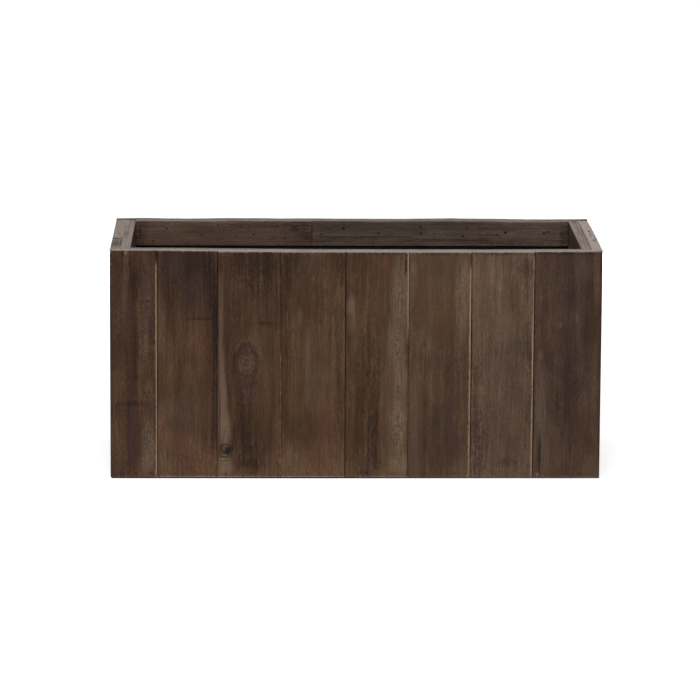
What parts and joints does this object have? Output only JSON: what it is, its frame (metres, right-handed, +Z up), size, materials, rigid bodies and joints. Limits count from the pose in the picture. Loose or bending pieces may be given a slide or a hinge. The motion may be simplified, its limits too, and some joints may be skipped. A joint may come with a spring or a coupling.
{
  "type": "trough planter",
  "caption": "Rectangular trough planter of upright weathered boards nailed to a floor and inner top rails, with a black plastic drop-in liner that lifts out.",
  "frame": {"origin": "On the ground, under the middle of the trough.", "axes": "+X along the trough to the right as seen from the front, +Y from front to back, +Z up."},
  "size_m": [0.8, 0.35, 0.377],
  "materials": {
    "wall_wood": "dark stained, weathered and worn at the edges",
    "rail_wood": "dark stained, greyer on top",
    "cleat_wood": "sawn",
    "floor_wood": "sawn and weathered",
    "brad_steel": "darkened and slightly rusted",
    "liner_plastic": "satin black"
  },
  "bodies": {
    "trough": {"back_board_1": "wall_wood", "back_board_2": "wall_wood", "back_board_3": "wall_wood", "back_board_4": "wall_wood", "back_board_5": "wall_wood", "back_board_6": "wall_wood", "back_board_7": "wall_wood", "back_board_8": "wall_wood", "back_floor_brads": "brad_steel", "back_left_cleat": "cleat_wood", "back_rail_brads": "brad_steel", "back_right_cleat": "cleat_wood", "back_top_rail_left": "rail_wood", "back_top_rail_right": "rail_wood", "floor_board_1": "floor_wood", "floor_board_2": "floor_wood", "floor_board_3": "floor_wood", "front_board_1": "wall_wood", "front_board_2": "wall_wood", "front_board_3": "wall_wood", "front_board_4": "wall_wood", "front_board_5": "wall_wood", "front_board_6": "wall_wood", "front_board_7": "wall_wood", "front_board_8": "wall_wood", "front_floor_brads": "brad_steel", "front_left_cleat": "cleat_wood", "front_rail_brads": "brad_steel", "front_right_cleat": "cleat_wood", "front_top_rail": "rail_wood", "left_board_1": "wall_wood", "left_board_2": "wall_wood", "left_board_3": "wall_wood", "left_floor_brads": "brad_steel", "left_rail_brads": "brad_steel", "left_top_rail": "rail_wood", "right_board_1": "wall_wood", "right_board_2": "wall_wood", "right_board_3": "wall_wood", "right_floor_brads": "brad_steel", "right_rail_brads": "brad_steel", "right_top_rail": "rail_wood"},
    "liner_tray": {"liner": "liner_plastic"}
  },
  "joints": [
    {"name": "liner_lift", "type": "slide", "parent": "trough", "child": "liner_tray", "axis": [0, 0, 1], "range_m": [0, 0.4]}
  ]
}
